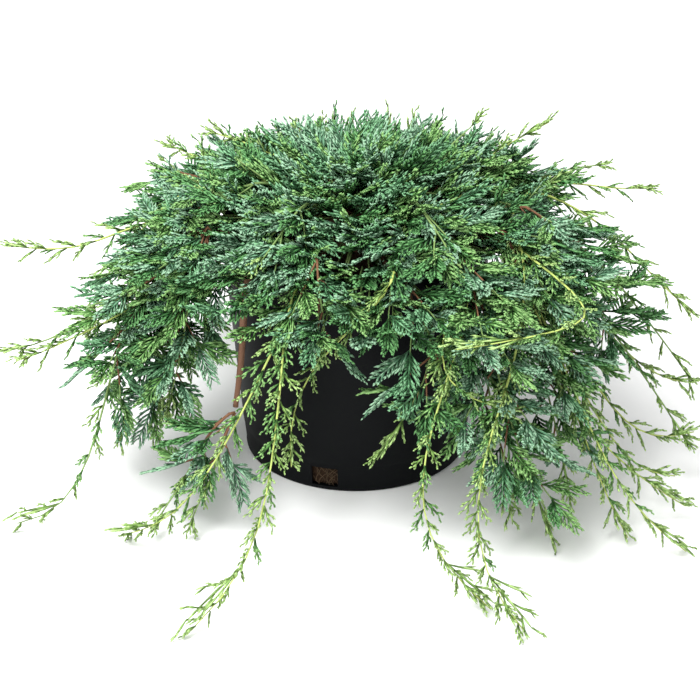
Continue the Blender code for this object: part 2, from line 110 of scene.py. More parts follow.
def tubes(path, radii, sides, turns=None):
    # Circles of the given radii carried along paths of shape (count, rings, 3): each ring's two
    # axes are the cross products of its direction with a fixed slanted one. Both ends are closed.
    count, rings, _ = path.shape
    along = unit(np.gradient(path, axis=1))
    slant = unit(np.array([0.31, 0.23, 0.92]) + 0 * along)
    side = unit(np.cross(along, slant))
    above = np.cross(side, along)
    turn = 2 * np.pi * np.arange(sides) / sides
    turn = turn + (np.zeros(rings) if turns is None else turns)[:, None]
    ring = side[:, :, None] * np.cos(turn)[None, :, :, None]
    ring = ring + above[:, :, None] * np.sin(turn)[None, :, :, None]
    points = path[:, :, None] + ring * np.broadcast_to(radii, (count, rings))[:, :, None, None]
    start = (np.arange(count) * rings * sides)[:, None, None]
    row = (np.arange(rings - 1) * sides)[None, :, None]
    here = np.arange(sides)[None, None, :]
    after = (here + 1) % sides
    quads = np.stack([start + row + here, start + row + sides + here,
                      start + row + sides + after, start + row + after], -1)
    low = start[:, 0] + np.arange(sides)
    high = (start[:, 0] + (rings - 1) * sides + np.arange(sides)[::-1])
    return points.reshape(-1, 3), [quads.reshape(-1, 4), low, high]


# The pot. Lengths in metres, headings in degrees
pot = {
    "height": 0.240,
    "baseRadius": 0.115,
    "rimRadius": 0.135,
    "wall": 0.0025,
    "lipDepth": 0.014,
    "lipOut": 0.0035,
    "bandHeight": 0.0295,
    "bandStep": 0.0007,
    "bandBevel": 0.0008,
    "footCurve": 0.003,
    "rollCurve": 0.002,
    "holeHeadings": (254, 344, 74, 164),
    "holeWidth": 0.027,
    "holeLow": 0.0045,
    "holeHigh": 0.026,
    "around": 160,
}


def wallRadius(height):
    # the wall's outer radius, which grows evenly from the base to the rim
    return pot["baseRadius"] + (pot["rimRadius"] - pot["baseRadius"]) * height / pot["height"]


def makePot():
    # A profile of (radius, height) turned about Z, with the cells inside each drain hole left out
    lipLow = pot["height"] - pot["lipDepth"]
    lip = wallRadius(pot["height"]) + pot["lipOut"]
    band = pot["bandHeight"]
    curve = np.linspace(0, math.pi / 2, 6)
    bend = pot["footCurve"]
    foot = [(pot["baseRadius"] - bend + bend * math.sin(a), bend - bend * math.cos(a)) for a in curve]
    bandLine = [(wallRadius(band) - pot["bandStep"], band),
                (wallRadius(band), band + pot["bandBevel"])]
    wall = [(wallRadius(z), z) for z in np.linspace(0.05, lipLow, 12)]
    bend = pot["rollCurve"]
    roll = [(lip - bend + bend * math.cos(a), pot["height"] - bend + bend * math.sin(a))
            for a in curve]
    lipEdge = [(lip - 0.0012, lipLow + 0.0004), (lip, lipLow + bend)]
    holeRows = [(wallRadius(z) - pot["bandStep"], z) for z in (pot["holeLow"], pot["holeHigh"])]
    base = [(0.0, 0.0), (0.06, 0.0)]
    rim = [(lip - 0.0045, pot["height"])]
    profile = np.array(base + foot + holeRows + bandLine + wall + lipEdge + roll + rim)
    halfWidth = math.degrees(pot["holeWidth"] / 2 / pot["baseRadius"])
    edges = [h + side * halfWidth for h in pot["holeHeadings"] for side in (-1, 1)]
    even = np.arange(0, 360, 360 / pot["around"])
    turns = np.radians(np.unique(np.concatenate([even, np.array(edges) % 360])))
    outline = profile[1:]
    rings = np.stack([outline[:, None, 0] * np.cos(turns), outline[:, None, 0] * np.sin(turns),
                      outline[:, None, 1] + 0 * turns], -1)
    count = len(turns)
    here = np.arange(count)
    after = (here + 1) % count
    row = (np.arange(len(outline) - 1) * count)[:, None]
    quads = np.stack([row + here, row + after, row + count + after, row + count + here], -1)
    middle = np.degrees(turns + np.diff(np.append(turns, turns[0] + 2 * np.pi)) / 2)
    inHole = np.zeros(count, bool)
    for heading in pot["holeHeadings"]:
        inHole |= np.abs((middle - heading + 180) % 360 - 180) < halfWidth
    rowLow = outline[:-1, 1]
    rowHigh = outline[1:, 1]
    holeRow = (rowLow >= pot["holeLow"] - 1e-5) & (rowHigh <= pot["holeHigh"] + 1e-5)
    keep = ~(holeRow[:, None] & inHole[None])
    points = np.concatenate([rings.reshape(-1, 3), [[0.0, 0.0, 0.0]]])
    centre = np.full(count, len(points) - 1)
    disc = np.stack([centre, after, here], -1)
    material = plainMaterial("blackPlastic", colour(3, 5, 7), 0.62, 0.12)
    noiseBump(material, 260, 0.10, 0.0004)
    made = addPiece("potShell", points, [quads[keep].reshape(-1, 4), disc], [material])
    thick = made.modifiers.new("wall", "SOLIDIFY")
    thick.thickness = pot["wall"]
    thick.offset = -1
    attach(made, "root")
    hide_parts("pot")


# The potting mix and the roots that show in the drain holes
soil = {
    "bump": 0.0022,
    "gap": 0.0030,
    "rootCount": 56,
    "thinRoot": 0.00014,
    "thickRoot": 0.00034,
}


def makeSoil():
    # A closed turned solid whose radius and height waver by sums of sines of heading and height
    middle = np.linspace(0.006, 0.213, 40)
    heights = np.concatenate([[0.0042, 0.0042], middle, [0.217, 0.2195, 0.221]])
    inner = wallRadius(heights) - pot["wall"] - soil["gap"]
    inner[0] = 0.02
    inner[-3:] = (0.110, 0.07, 0.03)
    turns = np.linspace(0, 2 * np.pi, 240, endpoint=False)
    waver = np.sin(23 * turns[None] + 310 * heights[:, None])
    waver = waver * np.sin(41 * turns[None] - 270 * heights[:, None])
    radius = inner[:, None] + soil["bump"] * 0.5 * (waver - 1)
    top = soil["bump"] * 0.6 * waver * (heights[:, None] > 0.2)
    rings = np.stack([radius * np.cos(turns), radius * np.sin(turns), heights[:, None] + top], -1)
    count = len(turns)
    here = np.arange(count)
    after = (here + 1) % count
    row = (np.arange(len(heights) - 1) * count)[:, None]
    quads = np.stack([row + here, row + after, row + count + after, row + count + here], -1)
    material = plainMaterial("dampPottingMix", colour(58, 43, 32), 0.95, 0.1)
    noiseBump(material, 420, 0.8, 0.003)
    low = np.arange(count)[None, ::-1]
    high = ((len(heights) - 1) * count + np.arange(count))[None]
    made = addPiece("soilFill", rings.reshape(-1, 3), [quads.reshape(-1, 4), low, high], [material])
    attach(made, "root")
    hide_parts("soil")


def makeRoots():
    # Thin roots pressed against the inside of each drain hole, each a wavering line
    chance = np.random.default_rng(5)
    count = soil["rootCount"]
    heading = np.radians(chance.choice(pot["holeHeadings"], count) + chance.uniform(-8, 8, count))
    share = np.linspace(0, 1, 9)
    lean = chance.uniform(-0.16, 0.16, count)
    phase = chance.uniform(0, 6.28, count)
    turn = heading[:, None] + lean[:, None] * (share - 0.5)
    turn = turn + 0.02 * np.sin(9 * share + phase[:, None])
    height = 0.006 + 0.024 * share[None] + 0.001 * np.cos(7 * share + phase[:, None])
    radius = wallRadius(0.02) - pot["wall"] - 0.0016
    radius = radius + 0.0008 * np.sin(11 * share + 2 * phase[:, None])
    path = np.stack([radius * np.cos(turn), radius * np.sin(turn), height], -1)
    girth = chance.uniform(soil["thinRoot"], soil["thickRoot"], count)[:, None]
    points, faces = tubes(path, girth, 5)
    material = plainMaterial("rootFibres", colour(88, 72, 54), 0.8)
    made = addPiece("drainHoleRoots", points, faces, [material])
    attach(made, "root")


# Trunk and boughs
limbs = {
    "soilTop": 0.222,
    # height above the soil, radius, and how far the stem leans
    "trunkRings": ((0.0, 0.0215, 0.0), (0.004, 0.0170, 0.0), (0.012, 0.0142, 0.0005),
                   (0.022, 0.0134, 0.0010), (0.033, 0.0126, 0.0014), (0.042, 0.0110, 0.0016),
                   (0.048, 0.0060, 0.0018)),
    "lowTiers": (0.0085, 0.0195),
    "upperTier": 0.0315,
    "rootRadius": 0.0042,
    "tipRadius": 0.0025,
    "rings": 30,
    "trunkSides": 40,
    "boughSides": 16,
    # heading, reach and height of each tip, and how far its middle is raised
    "upper": {
        "right": (15, 0.072, 0.288, 0.006),
        "back_right": (75, 0.070, 0.284, 0.006),
        "back_left": (140, 0.072, 0.286, 0.006),
        "left": (195, 0.072, 0.284, 0.006),
        "front_left": (245, 0.070, 0.282, 0.006),
        "front_right": (305, 0.072, 0.284, 0.006),
    },
    "lower": {
        "right": (352, 0.152, 0.268, 0.010),
        "right_front": (328, 0.150, 0.262, 0.012),
        "front_right": (303, 0.150, 0.265, 0.010),
        "front": (281, 0.150, 0.260, 0.012),
        "front_left": (256, 0.150, 0.266, 0.010),
        "left_front": (232, 0.158, 0.258, 0.012),
        "left_low": (209, 0.152, 0.264, 0.010),
        "left": (185, 0.150, 0.268, 0.010),
        "left_back": (160, 0.150, 0.268, 0.010),
        "back_left": (134, 0.150, 0.264, 0.010),
        "back": (108, 0.150, 0.262, 0.012),
        "back_right": (82, 0.154, 0.260, 0.012),
        "right_back": (56, 0.150, 0.264, 0.010),
        "right_high": (26, 0.150, 0.270, 0.010),
    },
    "drop": {
        "left_front": (234, 0.196, 0.120, 0.010),
        "back_right": (80, 0.205, 0.130, 0.010),
    },
}


def limbPath(start, tip, bends, rings, name):
    # A straight line raised and pushed sideways by an early and a late hump, with a slow wander
    chance = random.Random(name)
    phases = (chance.uniform(0, 2 * math.pi), chance.uniform(0, 2 * math.pi))
    share = np.linspace(0, 1, rings)
    early = np.sin(np.pi * share**0.6)
    late = np.sin(np.pi * share**1.8)
    chord = tip - start
    sideways = unit(np.array([-chord[1], chord[0], 0.0]))
    wander = 0.012 * np.linalg.norm(chord) * np.sin(np.pi * share)
    across = bends[2] * early + bends[3] * late + wander * np.sin(7 * share + phases[0])
    lift = bends[0] * early + bends[1] * late + wander * np.sin(9 * share + phases[1])
    return start + share[:, None] * chord + across[:, None] * sideways + lift[:, None] * up


def boughPaths():
    # The path of every bough by its name, from the trunk's tiers or a lower bough's tip, and of
    # the trunk's head
    paths = {}

    def addBough(name, start, aim):
        heading, reach, height, rise = aim
        tip = polar(heading, reach, height)
        paths[name] = limbPath(start, tip, (rise, 0, 0, 0), limbs["rings"], name)

    for name, aim in limbs["upper"].items():
        addBough("upper_" + name, np.array([0, 0, limbs["soilTop"] + limbs["upperTier"]]), aim)
    for number, (name, aim) in enumerate(limbs["lower"].items()):
        tier = limbs["lowTiers"][number % 2]
        addBough("lower_" + name, np.array([0, 0, limbs["soilTop"] + tier]), aim)
    for name, aim in limbs["drop"].items():
        addBough("drop_" + name, paths["lower_" + name][-1], aim)
    top = limbs["trunkRings"][-1]
    head = np.array([top[2], -top[2], limbs["soilTop"] + top[0]])
    paths["trunk"] = np.stack([head - [0, 0, 0.01], head])
    return paths


def makeLimbs(paths):
    # Trunk and boughs as round tubes with lengthwise furrows that turn slowly along them
    rings = np.array(limbs["trunkRings"])
    heights = np.linspace(0, rings[-1, 0], 40)
    trunkRadius = np.interp(heights, rings[:, 0], rings[:, 1])
    lean = np.interp(heights, rings[:, 0], rings[:, 2])
    trunkPath = np.stack([lean, -lean, limbs["soilTop"] - 0.001 + heights], -1)[None]
    names = [name for name in paths if name != "trunk"]
    boughs = np.stack([paths[name] for name in names])
    taper = np.linspace(limbs["rootRadius"], limbs["tipRadius"], boughs.shape[1])[None]
    sidesOf = (limbs["trunkSides"], limbs["boughSides"])
    groups = [tubes(trunkPath, trunkRadius[None], sidesOf[0]), tubes(boughs, taper, sidesOf[1])]
    points = []
    faces = []
    offset = 0
    for (groupPoints, groupFaces), sides in zip(groups, sidesOf):
        count = len(groupPoints)
        turn = np.arange(count) % sides
        ring = np.arange(count) // sides
        furrow = 1 + 0.05 * np.sin(2.1 * turn + 0.5 * ring) + 0.04 * np.sin(5.3 * turn - 0.9 * ring)
        centre = groupPoints.reshape(-1, sides, 3).mean(1).repeat(sides, 0)
        points.append(centre + (groupPoints - centre) * furrow[:, None])
        faces += [group + offset for group in groupFaces]
        offset += count
    material = plainMaterial("flakingBark", colour(104, 76, 60), 0.85, 0.15)
    noiseBump(material, 500, 0.7, 0.0012)
    made = addPiece("trunkAndBoughs", np.concatenate(points), faces, [material])
    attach(made, "root")
    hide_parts(*[name for name in nodes if name == "trunk" or name.startswith("bough")])


# Each mass has a leader off its bough's tip: heading, reach and height of the leader's tip, its
# early and late rise and push, the length of its first sprays and how dense it is
masses = {
    "crown_middle": ("trunk", (262, 0.030, 0.322), (0, 0, 0, 0), 0.046, 1.0),
    "crown_right": ("upper_right", (14, 0.168, 0.286), (0.020, 0, 0, 0), 0.050, 1.0),
    "crown_right_tip": ("upper_right", (34, 0.150, 0.323), (0.010, 0, 0.006, 0), 0.040, 0.6),
    "crown_right_shoot": ("upper_front_right", (17, 0.203, 0.328), (0, -0.018, -0.037, 0.045),
                          0.028, 0.0),
    "crown_back_right": ("upper_back_right", (72, 0.165, 0.262), (0.018, 0, 0, 0), 0.060, 1.0),
    "crown_back_left": ("upper_back_left", (146, 0.170, 0.276), (0.014, 0, 0, 0), 0.060, 1.0),
    "crown_left": ("upper_left", (194, 0.172, 0.276), (0.026, 0, 0, 0), 0.050, 1.0),
    "crown_front_left": ("upper_front_left", (240, 0.190, 0.262), (0.036, 0, 0, 0), 0.062, 1.0),
    "crown_front_right": ("upper_front_right", (299, 0.192, 0.262), (0.036, 0, 0, 0), 0.062, 1.0),
    "right": ("lower_right", (350, 0.343, 0.094), (0.034, 0.010, -0.030, 0), 0.050, 0.35),
    "right_upper_shoot": ("lower_right", (357, 0.342, 0.150), (0.030, 0, 0.020, 0), 0.032, 0.0),
    "right_trail": ("lower_right", (332, 0.361, 0.017), (0.020, 0.006, -0.046, -0.050), 0.036, 0.0),
    "right_front": ("lower_right_front", (343, 0.346, 0.046), (0.034, 0, -0.020, 0.030),
                    0.068, 0.6),
    "right_front_shoot": ("lower_right_front", (323, 0.389, 0.006), (0.010, 0, 0.002, -0.037),
                          0.036, 0.0),
    "right_front_trail": ("lower_right_front", (292, 0.398, 0.006), (0.044, -0.004, 0.033, -0.050),
                          0.036, 0.0),
    "front_right": ("lower_front_right", (310, 0.290, 0.008), (0.040, 0.030, 0, -0.020),
                    0.080, 1.0),
    "front_right_curl": ("lower_front_right", (302, 0.270, 0.152), (0.006, 0, 0.004, -0.054),
                         0.030, 0.0),
    "front_right_shoot": ("lower_front_right", (290, 0.351, 0.006), (0.030, -0.005, 0.019, -0.054),
                          0.036, 0.0),
    "front": ("lower_front", (275, 0.215, 0.094), (0.010, 0.030, 0.020, 0.030), 0.056, 0.8),
    "front_pot_shoot": ("lower_front", (252, 0.200, 0.073), (0.040, -0.020, 0.050, -0.070),
                        0.032, 0.0),
    "front_left": ("lower_front_left", (248, 0.391, 0.006), (0.010, 0.044, -0.014, 0.042),
                   0.042, 0.0),
    "front_left_trail": ("lower_front_left", (223, 0.305, 0.008), (0.002, 0, 0.017, 0.060),
                         0.042, 0.0),
    "left_front": ("drop_left_front", (232, 0.262, 0.010), (0, 0, 0, 0), 0.034, 0.4),
    "left_low": ("lower_left_low", (210, 0.377, 0.009), (0.020, 0, -0.050, 0.060), 0.066, 0.5),
    "left": ("lower_left", (199, 0.359, 0.158), (0.006, -0.016, 0.060, -0.010), 0.056, 0.3),
    "left_upper_shoot": ("lower_left", (188, 0.346, 0.240), (0, -0.006, 0.013, 0.015), 0.032, 0.0),
    "left_curl_shoot": ("lower_left", (195, 0.270, 0.158), (0.030, -0.030, -0.010, -0.050),
                        0.030, 0.0),
    "left_back": ("lower_left_back", (154, 0.225, 0.274), (0.004, 0, 0.016, 0), 0.060, 1.0),
    "back_left": ("lower_back_left", (132, 0.300, 0.070), (0.045, 0, -0.020, 0.020), 0.068, 1.0),
    "back": ("lower_back", (106, 0.335, 0.012), (0.045, 0.010, 0.020, -0.020), 0.066, 1.0),
    "back_right": ("drop_back_right", (77, 0.270, 0.010), (0, 0, 0, 0), 0.046, 0.6),
    "right_back": ("lower_right_back", (50, 0.310, 0.080), (0.045, 0, 0.020, -0.020), 0.068, 1.0),
    "right_high": ("lower_right_high", (17, 0.270, 0.276), (0.002, 0, -0.030, 0.006), 0.040, 0.3),
    "right_high_shoot": ("lower_right_high", (9, 0.305, 0.262), (0, -0.002, -0.012, 0), 0.032, 0.0),
}
# More leaders by the same rule, which thicken the curtains that hang at the sides, and their pieces
fillers = {
    "left_high": ("lower_left", (201, 0.218, 0.130), (0.026, 0, 0, 0), 0.052, 1.0, "foliageLeft"),
    "left_middle": ("lower_left_low", (208, 0.228, 0.055), (0.034, 0.014, 0, 0),
                    0.056, 1.0, "foliageLeft"),
    "left_deep": ("lower_left", (200, 0.252, 0.038), (0.036, 0.014, 0, 0),
                  0.050, 1.0, "foliageLeft"),
    "left_drop": ("drop_left_front", (226, 0.280, 0.012), (0.012, 0, 0, 0),
                  0.026, 0.5, "foliageFrontLeft"),
    "right_deep": ("lower_front_right", (305, 0.258, 0.022), (0.036, 0.020, 0, 0),
                   0.050, 1.0, "foliageFrontRight"),
    "left_spike": ("upper_back_left", (152, 0.172, 0.312), (0, 0, 0, 0),
                   0.036, 0.0, "foliageCrownLeft"),
    "left_spike_far": ("upper_left", (160, 0.210, 0.300), (0.004, 0, 0, 0),
                       0.036, 0.0, "foliageCrownLeft"),
    "left_twin": ("lower_left", (201, 0.350, 0.152), (0.008, -0.020, 0.060, -0.014),
                  0.036, 0.0, "foliageLeft"),
    "right_curl": ("lower_right_front", (288.4, 0.268, 0.228), (0.004, 0.006, 0.030, 0.085),
                   0.030, 0.0, "foliageRight"),
    "right_sag_high": ("lower_right", (349, 0.345, 0.098), (-0.010, -0.030, 0, 0),
                       0.036, 0.0, "foliageRight"),
    "right_sag": ("lower_right_front", (343, 0.350, 0.062), (-0.015, -0.045, 0, 0),
                  0.036, 0.0, "foliageRight"),
    "right_sag_low": ("lower_right_front", (334, 0.345, 0.040), (-0.010, -0.040, 0, 0),
                      0.036, 0.0, "foliageRight"),
    "right_low_shoot": ("lower_right_front", (320, 0.336, 0.010), (0.030, 0, 0, -0.010),
                        0.036, 0.0, "foliageRight"),
    "left_near": ("lower_left_low", (219, 0.236, 0.100), (0.020, 0, 0, 0),
                  0.050, 1.0, "foliageFrontLeft"),
    "right_middle": ("lower_right_front", (326, 0.270, 0.105), (0.034, 0, 0, 0),
                     0.060, 1.0, "foliageRight"),
    "right_low": ("lower_right_front", (318, 0.275, 0.035), (0.044, 0.010, 0, 0),
                  0.060, 1.0, "foliageRight"),
    "right_near": ("lower_front_right", (302, 0.232, 0.085), (0.020, 0.010, 0, 0),
                   0.042, 1.0, "foliageFrontRight"),
    "front_short": ("lower_front_left", (262, 0.205, 0.190), (0.020, 0, 0, 0),
                    0.046, 1.0, "foliageFrontLeft"),
    "front_high": ("lower_front", (280, 0.190, 0.225), (0.012, 0, 0, 0),
                   0.046, 1.0, "foliageFrontRight"),
}
# How far the outer part of some leaders is pushed sideways, by sin(pi * share^4)
tails = {
    "front_left": 0.016,
    "left_low": 0.018,
    "front_right_shoot": -0.008,
    "right_front_trail": -0.006,
}
# Which masses each piece of foliage stands for
regions = {
    "foliageCrownRight": ("crown_right", "crown_right_tip", "crown_right_shoot", "right_high",
                          "right_high_shoot", "crown_middle"),
    "foliageCrownLeft": ("crown_left", "crown_back_left", "left_back"),
    "foliageCrownFront": ("crown_front_left", "crown_front_right"),
    "foliageRight": ("right", "right_upper_shoot", "right_trail", "right_front"),
    "foliageFrontRight": ("front_right", "right_front_shoot", "right_front_trail",
                          "front_right_curl", "front_right_shoot", "front"),
    "foliageLeft": ("left_low", "left", "left_upper_shoot", "left_curl_shoot"),
    "foliageFrontLeft": ("front_pot_shoot", "front_left", "front_left_trail", "left_front"),
    "foliageBack": ("back_left", "back", "back_right", "right_back", "crown_back_right"),
}
# How the foliage grows: spacings and lengths in metres, and girths of tubes as radii
growth = {
    "leaderRings": 40,
    "leaderRadius": 0.0017,
    "shootRadius": 0.0014,
    "twigRadius": 0.0011,
    "twigTip": 0.0006,
    "turnEach": math.radians(137.5),
    "firstTwig": 0.012,
    "firstPlume": 0.008,
    "secondaryEvery": 0.0165,
    "secondaryTilt": math.radians(44),
    "plumeEvery": 0.0150,
    "plumeLength": 0.043,
    "shootEvery": 0.0098,
    "shootPlume": 0.025,
    "shootTilt": math.radians(34),
    "cordAngle": math.radians(33),
    "cordRadius": 0.00118,
    "cords": 14,
    "shootCords": 5,
    # share of a cord's length and thickness there, ring by ring
    "cordRings": ((0.0, 0.70), (0.45, 1.12), (0.86, 0.95)),
    "stubRings": ((0.0, 0.8), (0.62, 1.0)),
    # the mound's outline and the layers of plumes on it: how many, top, drop at the mound's reach,
    # widest reach, first heading and how far round they go
    "moundReach": 0.2,
    "roofTop": 0.3405,
    "roofDrop": 0.056,
    "roofRough": 0.018,
    "roofEdge": 0.255,
    "domeLayers": ((430, 0.314, 0.072, 0.226, 0, 360), (130, 0.294, 0.072, 0.212, 0, 360),
                   (70, 0.310, 0.072, 0.178, 225, 90)),
    "crownSink": 0.014,
    "collar": 0.0056,
    "lumpHeight": 0.011,
    "spikes": 34,
    "spikeSink": 0.029,
    "floor": 0.0012,
}
# screen colours of a plume's inner cords, darker for older growth and for painted shade, and of its
# outer cords, lighter for new growth and for painted light, and the share of the plumes that take
# them
greens = {
    "blueGreen": ((76, 125, 84), (118, 167, 124), 0.32),
    "greyGreen": ((94, 138, 106), (144, 182, 150), 0.24),
    "deepGreen": ((58, 106, 56), (98, 150, 92), 0.20),
    "leafGreen": ((84, 130, 66), (134, 176, 108), 0.15),
    "yellowGreen": ((122, 156, 82), (166, 196, 124), 0.09),
}


def growPlumes(paths, chance):
    # Root, direction, face normal, length and colour of each plume, in two lists for each piece: the
    # broad plumes and the slim ones of the long shoots. Also the twigs that bear them: path, radii
    # and kind, where 0 turns from brown to green, 1 is green and 2 is yellow-green
    broad = {name: [] for name in regions}
    slim = {name: [] for name in regions}
    twigs = []
    shares = np.cumsum([values[2] for values in greens.values()])
    where = {mass: region for region, names in regions.items() for mass in names}
    where.update({name: values[-1] for name, values in fillers.items()})
    leaders = {**masses, **{name: values[:-1] for name, values in fillers.items()}}
    thin = growth["twigTip"]
    wide = growth["moundReach"]

    def pick(shift):
        # a green by chance, where a higher shift gives a yellower one
        return int(np.searchsorted(shares, min(0.999, chance.uniform(0, 1) * (1 - shift) + shift)))

    def lump(x, y):
        # the mound's clumps, a product of two waves about 9 cm long
        wave = growth["lumpHeight"] * math.sin(68 * x + 21 * y + 0.6)
        return wave * math.sin(64 * y - 18 * x + 1.9)

    def excess(tip):
        # how far a tip stands above the mound: height = top - drop * (distance / reach)^2 + clump
        distance = math.hypot(tip[0], tip[1] * 1.25)
        roof = growth["roofTop"] - growth["roofDrop"] * (distance / wide) ** 2
        roof += lump(tip[0], tip[1])
        rough = chance.uniform(-0.010, growth["roofRough"])
        return max(0, tip[2] - rough - max(roof, growth["roofEdge"] - 0.2 * max(0, tip[1])))

    def addBroad(region, root, ahead, face, size, tone):
        # a broad plume bent down under the mound's outline; the last green is left to the shoots
        tip = root + ahead * size
        ahead = unit(tip - up * excess(tip) - root)
        face = unit(face - ahead * np.dot(face, ahead))
        broad[region].append((root, ahead, face, size, min(tone, len(greens) - 2)))

    for name, (bough, aim, bends, spread, dense) in leaders.items():
        region = where[name]
        if dense and "crown" in name:
            bends = (bends[0] - growth["crownSink"], *bends[1:])
        start = paths[bough][-1] + growth["collar"] * unit(paths[bough][-1] - paths[bough][-2])
        leader = limbPath(start, polar(*aim), bends, growth["leaderRings"], name)
        sideways = unit(np.cross(up, polar(*aim) - start))
        push = np.sin(np.pi * np.linspace(0, 1, growth["leaderRings"]) ** 4)[:, None]
        leader = leader + tails.get(name, 0) * push * sideways
        run = np.concatenate([[0], np.cumsum(np.linalg.norm(np.diff(leader, axis=0), axis=1))])
        kind = 1 if "crown" in name or "high" in name else 0
        girth = growth["leaderRadius"] if dense else growth["shootRadius"]
        twigs.append((leader, girth, thin, kind if dense else 2))
        turn = chance.uniform(0, 6)
        every = growth["secondaryEvery"] if dense else growth["shootEvery"]
        for length in np.arange(growth["firstTwig"], run[-1] - 0.006, every):
            share = length / run[-1]
            root, after = np.stack([np.interp((length, length + 0.004), run, leader[:, axis])
                                    for axis in range(3)], -1)
            ahead = unit(after - root)
            side = unit(np.cross(ahead, up + 0.01))
            over = np.cross(side, ahead)
            turn += growth["turnEach"] + chance.uniform(-0.4, 0.4)
            out = unit(side * math.cos(turn) + over * (math.sin(turn) + 0.15))
            long = spread * (1 - 0.70 * share) * chance.uniform(0.85, 1.12)
            if dense and share < 0.62 * dense + 0.14:
                tilt = growth["secondaryTilt"] * chance.uniform(0.8, 1.15)
                bend = 0.14 * long * unit(ahead + 0.25 * up)
                tip = root + (ahead * math.cos(tilt) + out * math.sin(tilt)) * long
                tip = tip - up * excess(tip + bend + 0.016 * up)
                steps = np.linspace(0, 1, 8)[:, None]
                twig = root + steps * (tip - root) + steps**2 * bend
                twigs.append((twig, growth["twigRadius"], thin, kind))
                hand = 1
                for place in np.arange(growth["firstPlume"], long, growth["plumeEvery"]):
                    part = place / long
                    base = root + (tip - root) * part + bend * part**2
                    along = unit(tip - root + 2 * part * bend)
                    across = unit(np.cross(along, up + 0.4 * out)) * hand
                    hand = -hand
                    point = unit(along * 0.78 + across * 0.62 + 0.22 * up)
                    face = np.cross(along, across) * hand + 0.5 * up
                    face = unit(face + chance.normal(0, 0.35, 3))
                    size = growth["plumeLength"] * (1.05 - 0.25 * part) * chance.uniform(0.8, 1.15)
                    addBroad(region, base, point, face, size, pick(0.25 * part))
                end = unit(tip - root + 2 * bend)
                face = unit(np.cross(end, np.cross(up, end)) + chance.normal(0, 0.3, 3))
                size = growth["plumeLength"] * 0.95
                addBroad(region, tip + bend - end * 0.010, end, face, size, pick(0.2))
            else:
                size = growth["shootPlume"] * (1.15 - 0.45 * share) * chance.uniform(0.7, 1.2)
                size = max(0.012, size)
                tilt = growth["shootTilt"] * chance.uniform(0.8, 1.2)
                point = unit(ahead * math.cos(tilt) + out * math.sin(tilt))
                slim[region].append((root, point, unit(np.cross(point, side) + 0.2 * over), size,
                                     pick(0.62 + 0.33 * share)))
        slim[region].append((leader[-6], unit(leader[-1] - leader[-4]), up,
                             np.linalg.norm(leader[-1] - leader[-6]) + 0.004, 4))
    # the mound: plumes laid over domes like shingles, height = top - drop * (reach / mound's)^2.2
    crown = ["foliageCrownRight", "foliageBack", "foliageCrownLeft", "foliageCrownFront"]
    for count, top, drop, widest, first, arc in growth["domeLayers"]:
        for number in range(count):
            reach = widest * math.sqrt((number + 0.5) / count)
            heading = math.radians(first + arc * ((number * 0.381966) % 1))
            heading = heading + chance.uniform(-0.1, 0.1)
            height = top - drop * (reach / wide) ** 2.2 + chance.uniform(-0.010, 0.010)
            slope = 2.2 * drop / wide * (reach / wide) ** 1.2
            outward = polar(math.degrees(heading), 1, 0)
            height += lump(outward[0] * reach, outward[1] * reach)
            normal = unit(outward * slope + up)
            downhill = unit(outward - up * slope)
            around = np.cross(normal, downhill)
            turned = downhill + around * chance.normal(0, 0.55)
            point = unit(0.85 * turned + normal * chance.uniform(0.35, 0.95) + 0.25 * up)
            face = unit(normal + chance.normal(0, 0.30, 3))
            size = growth["plumeLength"] * 1.12 * chance.uniform(0.8, 1.2)
            base = outward * reach + up * height - point * size * 0.75
            inner = base - outward * 0.035 + up * (0.012 * reach / wide - 0.010)
            twigs.append((np.linspace(inner, base, 4), 0.0012, 0.0009, 1))
            region = crown[int(((math.degrees(heading) + 45) % 360) // 90)]
            addBroad(region, base, point, face, size, pick(0.05))
    # slim shoots that stand out of the mound, mostly along the skyline
    for number in range(growth["spikes"]):
        heading = chance.uniform(-30, 210)
        reach = chance.uniform(0.10, 0.19)
        outward = polar(heading, 1, 0)
        height = growth["roofTop"] - growth["roofDrop"] * (reach / wide) ** 2 - growth["spikeSink"]
        point = unit(up + 0.55 * outward + chance.normal(0, 0.28, 3))
        root = outward * reach + up * height
        size = chance.uniform(0.022, 0.036)
        twig = np.linspace(root - point * 0.03, root + point * size * 0.8, 4)
        twigs.append((twig, growth["twigRadius"], thin, 1))
        region = crown[int(((heading + 45) % 360) // 90)]
        face = unit(np.cross(point, chance.normal(0, 1, 3)))
        slim[region].append((root, point, face, size, pick(0.3)))
    return broad, slim, twigs


